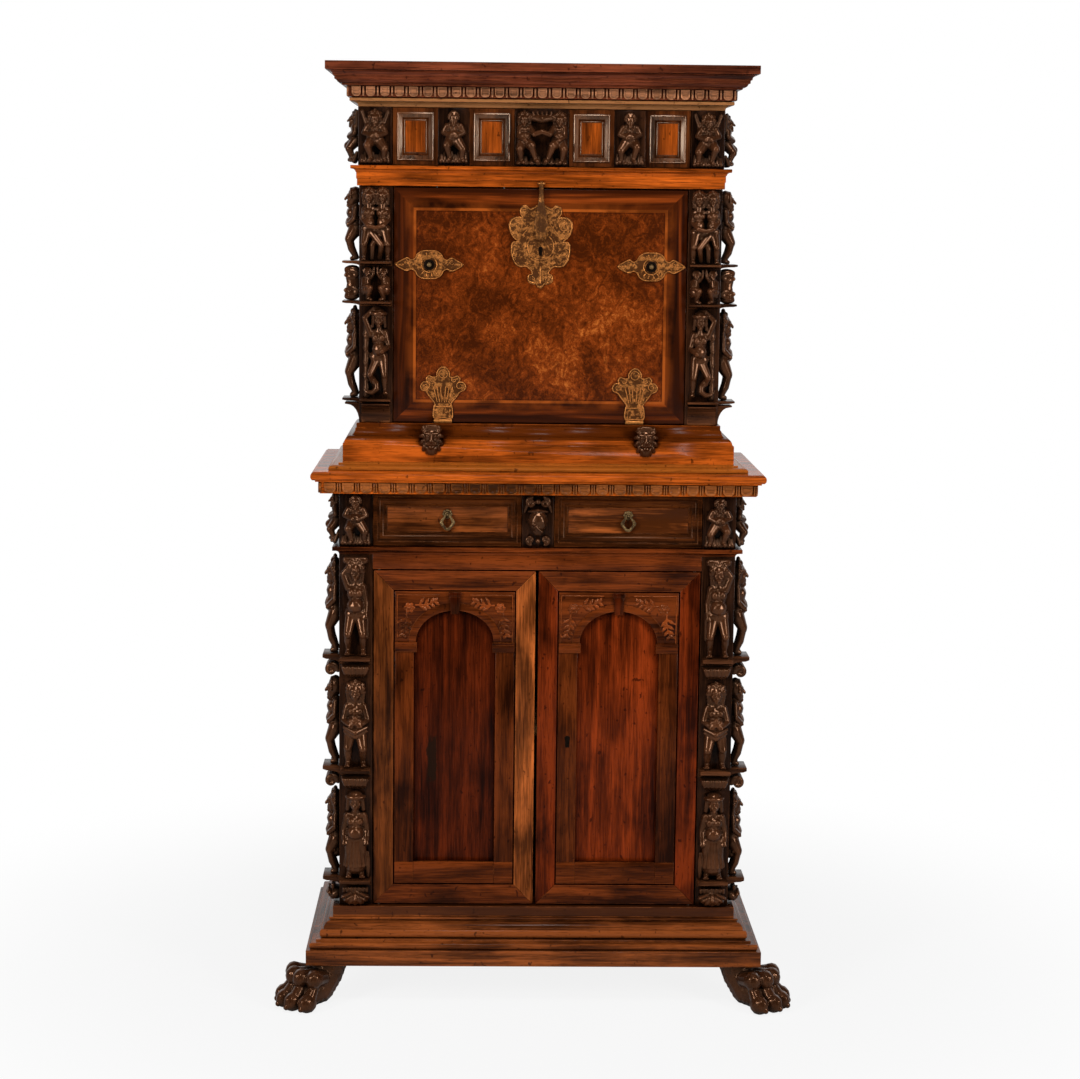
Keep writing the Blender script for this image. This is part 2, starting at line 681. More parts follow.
def carving(strokes, height, width, place, turn=0.0, relief=RELIEF, facets=FIGURE_FACETS):
    """A carved figure fitted to the height, width and relief of its ground, facing out from it."""
    body = sculpt("carving", strokes, height, facets)
    xs = [vert.co.x for vert in body.data.vertices]
    zs = [vert.co.z for vert in body.data.vertices]
    depth = -min(vert.co.y for vert in body.data.vertices)
    across = min(1.0, width / (2 * max(-min(xs), max(xs))))
    upward = height / (max(zs) - min(zs))
    body.data.transform(Matrix.Translation((0, 0, -min(zs))))
    body.data.transform(Matrix.Diagonal((across, relief / depth, upward, 1.0)))
    body.location = place
    body.rotation_euler.z = turn
    return body


def section_body(name, section, width, place, turn):
    """A short length of moulding drawn as (outward, up) points, turned to its side of the stile."""
    body = outline_solid(name, [section], width, DARK_WALNUT, SECTION_BASIS, place)
    body.rotation_euler.z = turn
    return body


def quarter(first, last):
    """Angles through a quarter turn for a small hollow or round."""
    return [first + (last - first) * index / SWEEP_STEPS for index in range(SWEEP_STEPS + 1)]


def ledge(width, place, turn, thickness=LEDGE_THICKNESS, cove=LEDGE_COVE):
    """A shelf with a hollow below it, which carries a figure. Its top is at the given place."""
    bottom = -thickness - cove
    lip = LEDGE_REACH * 0.78
    section = [(-CARVING_SINK, 0), (-CARVING_SINK, bottom)]
    section += [(lip * (1 - math.cos(angle)), bottom + cove * math.sin(angle))
                for angle in quarter(0, math.pi / 2)]
    section += [(LEDGE_REACH, -thickness * 0.7), (LEDGE_REACH, 0)]
    return section_body("ledge", section, width, place, turn)


def bracket(width, height, place, turn):
    """A hollow-fronted bracket below the lowest ledge. Its top is at the given place."""
    section = [(-CARVING_SINK, 0), (-CARVING_SINK, -height)]
    section += [(LEDGE_REACH * 0.85 * (1 - math.cos(angle)), -height + height * 0.86 * math.sin(angle))
                for angle in quarter(0, math.pi / 2)]
    section += [(LEDGE_REACH * 0.85, 0)]
    return section_body("bracket", section, width, place, turn)


def console(width, place, turn):
    """A rolled block of scrolls below a ledge. Its top is at the given place."""
    section = [(-CARVING_SINK, 0), (-CARVING_SINK, -CONSOLE_HEIGHT)]
    section += [(CONSOLE_REACH * math.cos(angle), CONSOLE_HEIGHT / 2 * (math.sin(angle) - 1))
                for angle in quarter(-math.pi / 2, math.pi / 2)]
    return section_body("console", section, width, place, turn)


def post_faces(half_width, front_y):
    """The foot of the carved front and side of a left post, each with its turn and clear width."""
    front = (Vector((-half_width + STILE_WIDTH / 2, front_y, 0)), 0.0, STILE_WIDTH - 2 * CARVING_MARGIN)
    side = (Vector((-half_width, front_y + POST_DEPTH / 2, 0)), SIDE_TURN, POST_DEPTH - 2 * CARVING_MARGIN)
    return front, side


def at_height(place, z):
    """A place moved to a height."""
    return Vector((place.x, place.y, z))


def plain_post(name, half_width, front_y, low, high):
    """The square post that a carved stile is worked on."""
    inner, back = -half_width + STILE_WIDTH, front_y + POST_DEPTH
    return box(name, (-half_width, front_y, low), (inner, back, high), DARK_WALNUT)


def cheek(name, half_width, front_y, low, high):
    """A corner post with the side board behind it, for a shallow level."""
    outer = -half_width
    board = outer + SIDE_SETBACK
    back = front_y + POST_DEPTH
    plan = [(outer, front_y), (outer + STILE_WIDTH, front_y), (outer + STILE_WIDTH, back)]
    plan += [(board + SIDE_THICKNESS, back), (board + SIDE_THICKNESS, INNER_BACK_Y)]
    plan += [(board, INNER_BACK_Y), (board, back), (outer, back)]
    return outline_solid(name, [plan], high - low, DARK_WALNUT, location=(0, 0, (low + high) / 2))


def divider(name, face_width, face_depth, front_y, low, high):
    """A carved block between two drawers with the partition board behind it."""
    half, board, back = face_width / 2, DIVIDER_BOARD / 2, front_y + face_depth
    plan = [(-half, front_y), (half, front_y), (half, back), (board, back), (board, INNER_BACK_Y)]
    plan += [(-board, INNER_BACK_Y), (-board, back), (-half, back)]
    return outline_solid(name, [plan], high - low, DARK_WALNUT, location=(0, 0, (low + high) / 2))


def cupboard_stiles():
    """Stiles with three figures on the front and three on the side, each on its ledge."""
    stile = plain_post("cupboard_stile_left", HALF_CASE, FRONT_Y, CUPBOARD_Z, WAIST_Z - SEAT_GAP)
    carved = []
    for place, turn, width in post_faces(HALF_CASE, FRONT_Y):
        ceiling = WAIST_Z - CARVING_MARGIN
        for index, strokes in enumerate((BEARER, HOLDER, DRAPED)):
            floor = WAIST_Z - LOWER_FIRST_BAY - LOWER_BAY * index
            if index:
                carved.append(console(width * 0.9, at_height(place, ceiling), turn))
                ceiling -= CONSOLE_HEIGHT
            carved.append(ledge(width, at_height(place, floor), turn))
            carved.append(carving(strokes, ceiling - floor, width, at_height(place, floor), turn))
            ceiling = floor - LEDGE_THICKNESS - LEDGE_COVE
        carved.append(bracket(width * 0.92, ceiling - CUPBOARD_Z, at_height(place, ceiling), turn))
    return pair(fuse(stile, *carved))


def upper_stiles():
    """Stiles with a linked couple, a small pair and a striding figure, and single figures on the side."""
    stile = plain_post("upper_stile_left", HALF_UPPER, UPPER_FRONT_Y, FALL_Z, RAIL_Z - SEAT_GAP)
    front, side = post_faces(HALF_UPPER, UPPER_FRONT_Y)
    designs = ((front, (COUPLE, TWINS, STRIDER)), (side, (HOLDER, SCROLLS, BEARER)))
    carved = []
    for (place, turn, width), column in designs:
        ceiling = RAIL_Z - CARVING_MARGIN / 2
        floor = RAIL_Z
        for strokes, bay in zip(column, (UPPER_GROUP_BAY, UPPER_PAIR_BAY, UPPER_FIGURE_BAY)):
            floor -= bay
            facets = FIGURE_FACETS * 2 if strokes is COUPLE else FIGURE_FACETS
            carved.append(ledge(width, at_height(place, floor), turn, FINE_LEDGE_THICKNESS, FINE_LEDGE_COVE))
            carved.append(carving(strokes, ceiling - floor, width, at_height(place, floor), turn,
                                  facets=facets))
            ceiling = floor - FINE_LEDGE_THICKNESS - FINE_LEDGE_COVE
        carved.append(bracket(width * 0.92, ceiling - FALL_Z, at_height(place, ceiling), turn))
    return pair(fuse(stile, *carved))


def carved_cheeks(name, half_width, front_y, low, high, strokes):
    """Corner posts of a shallow level with a crouching figure on the front and on the side."""
    body = cheek(name, half_width, front_y, low, high - SEAT_GAP)
    floor, height = low + CARVING_MARGIN, high - low - 2 * CARVING_MARGIN
    carved = [carving(strokes, height, width, at_height(place, floor), turn)
              for place, turn, width in post_faces(half_width, front_y)]
    return pair(fuse(body, *carved))


def plinth():
    """The moulded plinth, hollow below."""
    profile = Profile(PLINTH_REACH).rise(0.032).step(0.0545).half_round(0.013, 0.0035).step(0.045).rise(0.004)
    profile.step(0.033).half_round(0.018, 0.005).step(0.030).upright_sweep(0.0185, 0.014).rise(0.003)
    profile.step(0.0124).rise_to(PLINTH_HEIGHT - SEAT_GAP)
    body = moulded_slab("plinth", HALF_CASE, FRONT_Y, BACK_Y, PLINTH_Z, profile, WALNUT)
    cut_box(body, (-HALF_CASE + PLINTH_WALL, FRONT_Y + PLINTH_WALL, PLINTH_Z - SEAT_GAP),
            (HALF_CASE - PLINTH_WALL, BACK_Y - PLINTH_WALL, CUPBOARD_Z - PLINTH_TOP_BOARD))
    return body


def paw_feet():
    """Front feet carved as lion paws, splayed out from the plinth corners."""
    paw = sculpt("paw_foot_left", PAW, PAW_SIZE, PAW_FACETS)
    paw.data.transform(Matrix.Rotation(PAW_TURN, 4, "Z"))
    slice_flat(paw, (0, 0, 0), (0, 0, -1))
    slice_flat(paw, (0, 0, FOOT_HEIGHT - SEAT_GAP), (0, 0, 1))
    toe_x = min(vert.co.x for vert in paw.data.vertices)
    toe_y = min(vert.co.y for vert in paw.data.vertices)
    paw.location = (-HALF_CASE - PLINTH_REACH - TOE_REACH - toe_x, -TOTAL_DEPTH / 2 - toe_y, 0)
    return pair(paw)


def back_feet():
    """Plain bracket feet at the back corners."""
    outer = -HALF_CASE - PLINTH_REACH + BACK_FOOT_INSET
    top = FOOT_HEIGHT - SEAT_GAP
    hollow = BACK_FOOT_LENGTH - BACK_FOOT_TOE
    side_view = [(outer, 0), (outer + BACK_FOOT_TOE, 0)]
    side_view += [(outer + BACK_FOOT_TOE + hollow * (1 - math.cos(angle)), top * math.sin(angle))
                  for angle in quarter(0, math.pi / 2)[1:]]
    side_view += [(outer, top)]
    foot = outline_solid("back_foot_left", [side_view], BACK_FOOT_LENGTH, WALNUT, FRONT_BASIS,
                         (0, BACK_Y - BACK_FOOT_INSET - BACK_FOOT_LENGTH / 2, 0))
    return pair(foot)


def side_boards(name, half_width, front_y, low, high):
    """The boards that close the two sides behind the stiles."""
    outer = -half_width + SIDE_SETBACK
    return pair(box(name, (outer, front_y + POST_DEPTH + SEAT_GAP, low),
                    (outer + SIDE_THICKNESS, INNER_BACK_Y, high - SEAT_GAP), WALNUT))


def back_board(name, half_width, low, high):
    """A back panel, let in behind the levels that it covers."""
    return box(name, (-half_width + SIDE_SETBACK, BACK_Y - BACK_THICKNESS, low),
               (half_width - SIDE_SETBACK, BACK_Y, high - SEAT_GAP), CASE_WOOD)


def cupboard_shelf():
    """The shelf inside the cupboard, behind the stiles."""
    half = HALF_CASE - SIDE_SETBACK - SIDE_THICKNESS - SEAT_GAP
    low = CUPBOARD_Z + CUPBOARD_HEIGHT * SHELF_HEIGHT_SHARE
    return box("cupboard_shelf", (-half, FRONT_Y + POST_DEPTH + SEAT_GAP, low),
               (half, INNER_BACK_Y, low + SHELF_THICKNESS), CASE_WOOD)


DOOR_LEFT_X = -LOWER_STILE_INNER + DOOR_GAP
DOOR_RIGHT_X = -DOOR_MEETING_GAP / 2
DOOR_LOW_Z = CUPBOARD_Z + DOOR_GAP
DOOR_HIGH_Z = WAIST_Z - CUPBOARD_RAIL_HEIGHT - DOOR_GAP
PIVOT = Vector((DOOR_LEFT_X + PIVOT_FROM_EDGE, FRONT_Y + PIVOT_FROM_FACE, 0))


def door_frame():
    """A framed door leaf, open in the middle and rebated behind for its panel."""
    frame = box("door_frame_left", (DOOR_LEFT_X, FRONT_Y, DOOR_LOW_Z),
                (DOOR_RIGHT_X, FRONT_Y + DOOR_THICKNESS, DOOR_HIGH_Z), WALNUT)
    for inset, front, back in ((DOOR_FRAME_WIDTH, -DOOR_GAP, DOOR_THICKNESS + DOOR_GAP),
                               (DOOR_FRAME_WIDTH - DOOR_REBATE, PANEL_RECESS, DOOR_THICKNESS + DOOR_GAP)):
        cut_box(frame, (DOOR_LEFT_X + inset, FRONT_Y + front, DOOR_LOW_Z + inset),
                (DOOR_RIGHT_X - inset, FRONT_Y + back, DOOR_HIGH_Z - inset))
    bore = PIN_RADIUS + PIN_CLEARANCE
    depth = PIN_IN_DOOR + DOOR_GAP
    cut_bore(frame, at_height(PIVOT, DOOR_LOW_Z - DOOR_GAP), at_height(PIVOT, DOOR_LOW_Z + depth), bore)
    cut_bore(frame, at_height(PIVOT, DOOR_HIGH_Z - depth), at_height(PIVOT, DOOR_HIGH_Z + DOOR_GAP), bore)
    return frame


def door_panel():
    """The flat panel that lies in the door's rebate."""
    inset = DOOR_FRAME_WIDTH - DOOR_REBATE + SEAT_GAP
    face = FRONT_Y + PANEL_RECESS + SEAT_GAP
    return box("door_panel_left", (DOOR_LEFT_X + inset, face, DOOR_LOW_Z + inset),
               (DOOR_RIGHT_X - inset, face + PANEL_THICKNESS, DOOR_HIGH_Z - inset), RED_WALNUT)


def door_arcade():
    """The arcade laid on the panel: pilasters, imposts, a round arch with a keystone, and a base strip."""
    inset = DOOR_FRAME_WIDTH + SEAT_GAP
    low, high = DOOR_LOW_Z + inset, DOOR_HIGH_Z - inset
    left, right = DOOR_LEFT_X + inset, DOOR_RIGHT_X - inset
    middle = (left + right) / 2
    radius = (right - left) / 2 - PILASTER_WIDTH
    spring = high - ARCH_CROWN_BELOW_TOP - radius
    face = FRONT_Y + PANEL_RECESS - ARCADE_THICKNESS
    rim = [(left, low), (right, low), (right, high), (left, high)]
    opening = [(middle - radius, low + ARCADE_BASE_HEIGHT), (middle + radius, low + ARCADE_BASE_HEIGHT)]
    opening += [(middle + radius * math.cos(angle), spring + radius * math.sin(angle))
                for angle in [math.pi * index / ROUND_SIDES for index in range(ROUND_SIDES + 1)]]
    arcade = outline_solid("door_arcade_left", [rim, opening], ARCADE_THICKNESS, RED_WALNUT, FRONT_BASIS,
                           (0, face + ARCADE_THICKNESS / 2, 0))
    blocks = []
    for inner, outer in ((middle - radius + IMPOST_REACH, left + SEAT_GAP),
                         (middle + radius - IMPOST_REACH, right - SEAT_GAP)):
        blocks.append(box("impost", (min(inner, outer), face - IMPOST_REACH, spring - IMPOST_HEIGHT),
                          (max(inner, outer), face + ARCADE_THICKNESS / 2, spring), RED_WALNUT))
    crown = spring + radius
    foot, head = KEYSTONE_FOOT_WIDTH / 2, KEYSTONE_WIDTH / 2
    keystone = [(-foot, crown - KEYSTONE_DROP), (foot, crown - KEYSTONE_DROP),
                (head, high - SEAT_GAP), (-head, high - SEAT_GAP)]
    depth = KEYSTONE_REACH + ARCADE_THICKNESS / 2
    blocks.append(outline_solid("keystone", [keystone], depth, RED_WALNUT, FRONT_BASIS,
                                (middle, face - KEYSTONE_REACH + depth / 2, 0)))
    return fuse(arcade, *blocks)


def door_pins():
    """Iron pivot pins above and below each door, driven into the case."""
    low = rod("door_pin_lower_left", at_height(PIVOT, CUPBOARD_Z - PIN_IN_CASE),
              at_height(PIVOT, DOOR_LOW_Z + PIN_IN_DOOR), PIN_RADIUS, IRON)
    high = rod("door_pin_upper_left", at_height(PIVOT, DOOR_HIGH_Z - PIN_IN_DOOR),
               at_height(PIVOT, DOOR_HIGH_Z + DOOR_GAP + PIN_IN_CASE), PIN_RADIUS, IRON)
    return pair(low) + pair(high)


def bore_for_pins(lower, upper):
    """Bore the plinth and the cupboard rail for the door pins."""
    bore = PIN_RADIUS + PIN_CLEARANCE
    ceiling = DOOR_HIGH_Z + DOOR_GAP
    for x in (PIVOT.x, -PIVOT.x):
        axis = Vector((x, PIVOT.y, 0))
        depth = PIN_IN_CASE + SEAT_GAP
        cut_bore(lower, at_height(axis, CUPBOARD_Z - depth), at_height(axis, CUPBOARD_Z + DOOR_GAP), bore)
        cut_bore(upper, at_height(axis, ceiling - DOOR_GAP), at_height(axis, ceiling + depth), bore)


def door_lock():
    """The iron lock case behind the right-hand door."""
    left = -DOOR_RIGHT_X + DOOR_LOCK_FROM_EDGE
    back = FRONT_Y + DOOR_THICKNESS + SEAT_GAP
    low = CUPBOARD_Z + CUPBOARD_HEIGHT * DOOR_LOCK_HEIGHT_SHARE
    return box("door_lock", (left, back, low),
               (left + DOOR_LOCK_WIDTH, back + DOOR_LOCK_DEPTH, low + DOOR_LOCK_HEIGHT), IRON)


def doors():
    """Two panelled doors on pivot pins at their outer edges."""
    left, right = zip(*(pair(piece) for piece in (door_frame(), door_panel(), door_arcade())))
    hang("door_left_axis", PIVOT, left)
    hang("door_right_axis", Vector((-PIVOT.x, PIVOT.y, 0)), right + (door_lock(),))


def waist():
    """The board between cupboard and drawers with its lip moulding, and the rail below it."""
    profile = Profile(0.0).rise(0.001).upright_sweep(0.011, 0.007).step(0.0131)
    profile.rise_to(WAIST_HEIGHT - SEAT_GAP)
    board = moulded_slab("waist_board", HALF_CASE, FRONT_Y, INNER_BACK_Y, WAIST_Z, profile, WALNUT)
    half = LOWER_STILE_INNER - SEAT_GAP
    rail = box("rail", (-half, FRONT_Y, WAIST_Z - CUPBOARD_RAIL_HEIGHT),
               (half, FRONT_Y + CUPBOARD_RAIL_DEPTH, WAIST_Z + WAIST_HEIGHT / 3), WALNUT)
    return fuse(board, rail)


def open_tray(name, low, high, material):
    """A drawer box, open above."""
    tray = box(name, low, high, material)
    cut_box(tray, (low[0] + TRAY_WALL, low[1] + TRAY_WALL, low[2] + TRAY_FLOOR),
            (high[0] - TRAY_WALL, high[1] - TRAY_WALL, high[2] + SEAT_GAP))
    return tray


def drop_pull(x, z):
    """A rosette with a knobbed neck, and the pear-shaped ring that hangs on it."""
    face = FRONT_Y - SEAT_GAP
    neck_end = face - PULL_PLATE_THICKNESS - PULL_NECK_LENGTH
    plate = rod("pull_plate_left", (x, face, z), (x, face - PULL_PLATE_THICKNESS, z),
                PULL_PLATE_RADIUS, DARK_BRASS)
    neck = rod("neck", (x, face - PULL_PLATE_THICKNESS / 2, z), (x, neck_end, z),
               PULL_NECK_RADIUS, DARK_BRASS)
    fuse(plate, neck, knob("knob", (x, neck_end, z), PULL_BALL_RADIUS, DARK_BRASS))
    eye = PULL_NECK_RADIUS + DROP_EYE_CLEARANCE + DROP_WIRE_RADIUS
    points = []
    for index in range(DROP_POINTS):
        angle = 2 * math.pi * index / DROP_POINTS
        fall = (1 - math.cos(angle)) / 2
        swell = eye * 1.25 * (1 - fall) + DROP_HALF_WIDTH * 1.35 * fall
        points.append((swell * math.sin(angle), 0, -(DROP_LENGTH + eye) * fall))
    hook_y = face - PULL_PLATE_THICKNESS - PULL_NECK_LENGTH * PULL_HOOK_SHARE
    drop = wire_solid("pull_drop_left", points, DROP_WIRE_RADIUS, True, DARK_BRASS, (x, hook_y, z + eye))
    return plate, drop


def lower_drawers():
    """Two drawers with moulded fronts, loose trays and drop pulls."""
    left, right = -LOWER_STILE_INNER + DRAWER_GAP, -DIVIDER_FACE_WIDTH / 2 - DRAWER_GAP
    low, high = DRAWER_Z + DRAWER_GAP, DESK_Z - DRAWER_GAP
    steps = ((0.007, 0.0), (0.004, -0.003), (0.005, 0.0), (0.003, -0.003), (0.003, 0.001))
    face_back = FRONT_Y + DRAWER_FRONT_THICKNESS
    front = panelled_front("drawer_front_left", (left, FRONT_Y, low), (right, face_back, high),
                           (), (0,), steps, WALNUT)
    tray_back = INNER_BACK_Y - TRAY_BACK_CLEARANCE
    tray = open_tray("drawer_tray_left", (left + TRAY_CLEARANCE, face_back + SEAT_GAP, DRAWER_Z + SLIDE_GAP),
                     (right - TRAY_CLEARANCE, tray_back, DRAWER_Z + TRAY_HEIGHT), CASE_WOOD)
    middle = (left + right) / 2
    sunk = sum(depth for thickness, depth in steps)
    plate, drop = drop_pull(middle, DRAWER_Z + PULL_HEIGHT_ON_FRONT)
    plate.location.y -= sunk
    drop.location.y -= sunk
    sets = list(zip(*(pair(piece) for piece in (front, tray, plate, drop))))
    for name, pieces in zip(("drawer_left", "drawer_right"), sets):
        hang(name + "_slide", (pieces[0].location.x, FRONT_Y, low), pieces[:3])
        hang(name + "_pull_axis", pieces[3].location, pieces[3:])


def desk_top():
    """The projecting top of the lower case with a band of tongues under its rounded nose."""
    profile = Profile(0.036).rise(0.0015).carved_band(0.021).rise(0.0012).step(0.045).rise(0.003).step(0.0480)
    profile.half_round(DESK_HEIGHT - SEAT_GAP - profile.points[-1][1] - 0.0012, 0.0057).rise(0.0012)
    return moulded_slab("desk_top", HALF_CASE, FRONT_Y, BACK_Y, DESK_Z, profile, AMBER_WALNUT,
                        DESK_TONGUE_PITCH)


LOPER_X = -HALF_CASE + LOPER_FROM_END
LOPER_TOP_Z = FALL_Z - LOPER_COVER
BASE_FASCIA_REACH = -0.007


def upper_base():
    """The moulded base of the upper case with a slot for each loper."""
    profile = Profile(0.020).rise(0.004).upright_sweep(0.008, 0.006).step(0.001).rise(0.003)
    profile.step(BASE_FASCIA_REACH).rise(0.038).step(-0.010).upright_sweep(-0.022, 0.014)
    profile.level_sweep(-0.031, 0.014).step(-0.033)
    profile.rise_to(BASE_HEIGHT - SEAT_GAP)
    base = moulded_slab("upper_base", HALF_CASE, FRONT_Y, BACK_Y, BASE_Z, profile, WALNUT)
    half = LOPER_WIDTH / 2 + SLIDE_GAP
    for x in (LOPER_X, -LOPER_X):
        cut_box(base, (x - half, FRONT_Y - PLINTH_REACH, LOPER_TOP_Z - LOPER_HEIGHT - SLIDE_GAP),
                (x + half, BACK_Y - LOPER_BACK_CLEARANCE, LOPER_TOP_Z + SLIDE_GAP))
    return base


def lopers():
    """Sliding bars that carry the open fall front, each pulled by a carved lion mask."""
    face = FRONT_Y - BASE_FASCIA_REACH - SEAT_GAP
    mask = sculpt("mask", LION_MASK, MASK_HEIGHT, FIGURE_FACETS)
    slice_flat(mask, (0, 0, 0), (0, 1, 0))
    crown = max(vert.co.z for vert in mask.data.vertices)
    mask.location = (LOPER_X, face, FALL_Z + MASK_TOP_ABOVE_BASE - crown)
    half = LOPER_WIDTH / 2
    bar = box("loper_left", (LOPER_X - half, face - CARVING_SINK, LOPER_TOP_Z - LOPER_HEIGHT),
              (LOPER_X + half, BACK_Y - LOPER_BACK_CLEARANCE - LOPER_WIDTH, LOPER_TOP_Z), DARK_WALNUT)
    for bar in pair(fuse(bar, mask)):
        hang(bar.name + "_slide", (bar.location.x, face, LOPER_TOP_Z), [bar])


def rounded_cartouche(width, height, lobes, depth, points):
    """A lobed oval outline."""
    outline = []
    for index in range(points):
        angle = 2 * math.pi * index / points
        swell = 1 - depth + depth * abs(math.cos(lobes * angle / 2))
        outline.append((width / 2 * swell * math.cos(angle), height / 2 * swell * math.sin(angle)))
    return outline


def both_sides(half):
    """Close a half outline, drawn up the right side, by its mirror image."""
    return half + [(-u, v) for u, v in reversed(half) if u > 0]


def on_fall(name, outline, x, z):
    """A thin metal plate on the face of the fall front."""
    return outline_solid(name, [outline], PLATE_THICKNESS, GILT_IRON, FRONT_BASIS,
                         (x, UPPER_FRONT_Y - SEAT_GAP - PLATE_THICKNESS / 2, z))


FALL_HALF_WIDTH = UPPER_STILE_INNER - DOOR_GAP
FALL_AXIS = Vector((0, UPPER_FRONT_Y - HINGE_FORWARD, FALL_Z + HINGE_ABOVE_BASE))


def hinge_plate():
    """A strap hinge: a leafy plate on a tapered foot with a rolled knuckle at its lower edge."""
    x = -FALL_HALF_WIDTH + HINGE_PLATE_FROM_EDGE
    w, h = HINGE_PLATE_WIDTH / 2, HINGE_PLATE_HEIGHT
    half = [(0.40 * w, 0), (0.30 * w, 0.22 * h), (0.62 * w, 0.36 * h), (w, 0.52 * h), (0.80 * w, 0.64 * h),
            (0.46 * w, 0.70 * h), (0.34 * w, 0.86 * h), (0.16 * w, 0.97 * h), (0, h)]
    plate = on_fall("hinge_plate_left", both_sides(half), x, FALL_AXIS.z)
    knuckle = rod("knuckle", (x - KNUCKLE_LENGTH / 2, FALL_AXIS.y, FALL_AXIS.z),
                  (x + KNUCKLE_LENGTH / 2, FALL_AXIS.y, FALL_AXIS.z), KNUCKLE_RADIUS, GILT_IRON)
    return fuse(plate, knuckle)


def side_escutcheon():
    """A pointed cartouche laid sideways with a small knob in its middle."""
    x, z = -FALL_HALF_WIDTH + ESCUTCHEON_FROM_EDGE, RAIL_Z - ESCUTCHEON_BELOW_RAIL
    w, h = ESCUTCHEON_WIDTH / 2, ESCUTCHEON_HEIGHT / 2
    upper = [(w, 0), (0.82 * w, 0.36 * h), (0.60 * w, 0.30 * h), (0.42 * w, 0.70 * h), (0.20 * w, h),
             (-0.20 * w, h), (-0.42 * w, 0.70 * h), (-0.60 * w, 0.30 * h), (-0.82 * w, 0.36 * h), (-w, 0)]
    plate = on_fall("escutcheon_left", upper + [(u, -v) for u, v in reversed(upper[1:-1])], x, z)
    middle_y = UPPER_FRONT_Y - SEAT_GAP - PLATE_THICKNESS / 2
    boss = knob("boss", (x, middle_y, z), ESCUTCHEON_KNOB_RADIUS, GILT_IRON)
    slice_flat(boss, (0, 0, 0), (0, 1, 0))
    return fuse(plate, boss)


def lock_case():
    """The iron lock behind the fall front."""
    back = UPPER_FRONT_Y + FALL_THICKNESS + SEAT_GAP
    z = RAIL_Z - LOCK_PLATE_BELOW_RAIL
    half = LOCK_CASE_WIDTH / 2
    return box("fall_lock", (-half, back, z - LOCK_CASE_HEIGHT / 2),
               (half, back + LOCK_CASE_DEPTH, z + LOCK_CASE_HEIGHT / 2), IRON)


def fall_front():
    """The burr-veneered writing flap with its plates, hinged at its lower front edge."""
    board = box("fall_front", (-FALL_HALF_WIDTH, UPPER_FRONT_Y, FALL_Z + FALL_BOTTOM_GAP),
                (FALL_HALF_WIDTH, UPPER_FRONT_Y + FALL_THICKNESS, RAIL_Z - FALL_TOP_GAP), BURL)
    outline = rounded_cartouche(LOCK_PLATE_WIDTH, LOCK_PLATE_HEIGHT, 8, 0.16, 48)
    plate = on_fall("lock_plate", outline, 0, RAIL_Z - LOCK_PLATE_BELOW_RAIL)
    hang("fall_front_axis", FALL_AXIS,
         (board, plate, lock_case()) + pair(hinge_plate()) + pair(side_escutcheon()))


RAIL_FASCIA_REACH = 0.004
HASP_AXIS = Vector((0, UPPER_FRONT_Y - RAIL_FASCIA_REACH - EYE_REACH, RAIL_Z + EYE_ABOVE_RAIL_BOTTOM))


def hasp():
    """The hinged hasp that hangs over the lock plate, and the staple in the rail that carries it."""
    stub_y = UPPER_FRONT_Y - RAIL_FASCIA_REACH - SEAT_GAP - HASP_AXIS.y
    bend = [(-EYE_HALF_SPAN, stub_y, 0), (-EYE_HALF_SPAN, 0, 0)]
    bend += [(-x, y, z) for x, y, z in reversed(bend)]
    wire_solid("hasp_staple", bend, EYE_ROD_RADIUS, False, GILT_IRON, HASP_AXIS)
    inner = EYE_ROD_RADIUS + PIN_CLEARANCE
    outer = inner + HASP_RING_WALL
    turns = [2 * math.pi * index / ROUND_SIDES for index in range(ROUND_SIDES)]
    rings = [[(radius * math.cos(turn), radius * math.sin(turn)) for turn in turns]
             for radius in (outer, inner)]
    ring = outline_solid("hasp", rings, HASP_RING_WIDTH, GILT_IRON, SECTION_BASIS, HASP_AXIS)
    top, foot = -(inner + outer) / 2, -HASP_LENGTH
    half = [(HASP_FOOT_WIDTH * 0.35, foot), (HASP_FOOT_WIDTH / 2, foot + HASP_FOOT_HEIGHT / 2),
            (HASP_TOP_WIDTH * 0.62, foot + HASP_FOOT_HEIGHT), (HASP_TOP_WIDTH / 2, top)]
    bar = outline_solid("bar", [half + [(-u, v) for u, v in reversed(half)]], HASP_THICKNESS, GILT_IRON,
                        FRONT_BASIS, HASP_AXIS)
    heel_y = UPPER_FRONT_Y - 3 * SEAT_GAP - PLATE_THICKNESS
    heel = box("heel", (-HASP_TOP_WIDTH / 2, HASP_AXIS.y, HASP_AXIS.z + foot + HASP_FOOT_HEIGHT / 4),
               (HASP_TOP_WIDTH / 2, heel_y, HASP_AXIS.z + foot + HASP_FOOT_HEIGHT), GILT_IRON)
    hang("hasp_axis", HASP_AXIS, [fuse(ring, bar, heel)])


